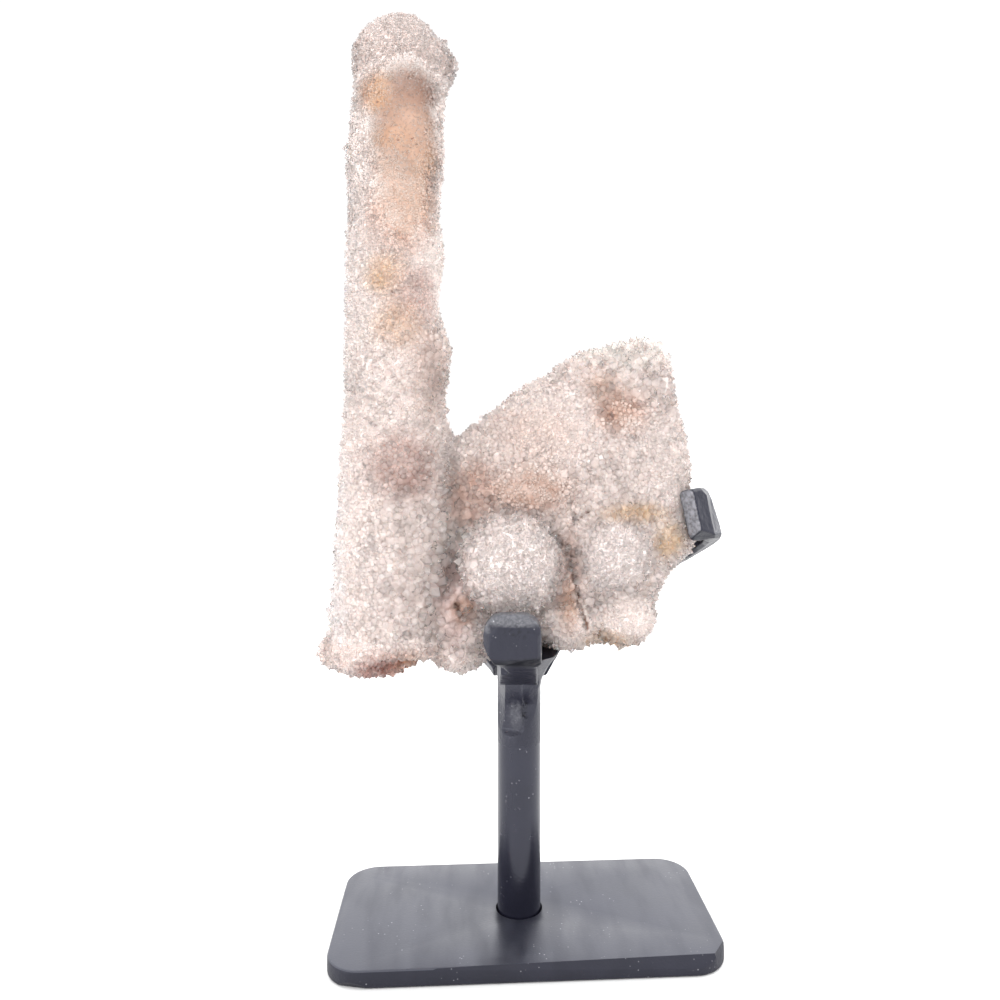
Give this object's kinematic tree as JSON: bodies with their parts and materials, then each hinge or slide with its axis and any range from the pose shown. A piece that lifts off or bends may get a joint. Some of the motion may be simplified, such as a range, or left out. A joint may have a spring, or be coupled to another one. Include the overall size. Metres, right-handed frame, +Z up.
{
  "type": "stalagmite on stand",
  "caption": "Upright crystal-coated stalagmite finger grown with a lump of its wall rock, held by bent claws on the post of a flat black iron stand.",
  "frame": {"origin": "centre of the flat underside of the base plate", "axes": "+Z up along the post, +X along the plate's long side, -Y towards the front, where the front claw is"},
  "size_m": [0.1206, 0.0684, 0.273],
  "materials": {
    "black_iron": "satin",
    "drusy_quartz": "gloss"
  },
  "bodies": {
    "root": {"base_plate": "black_iron", "post": "black_iron", "front_claw": "black_iron", "right_claw": "black_iron", "back_claw": "black_iron", "stalagmite": "drusy_quartz"}
  },
  "joints": []
}
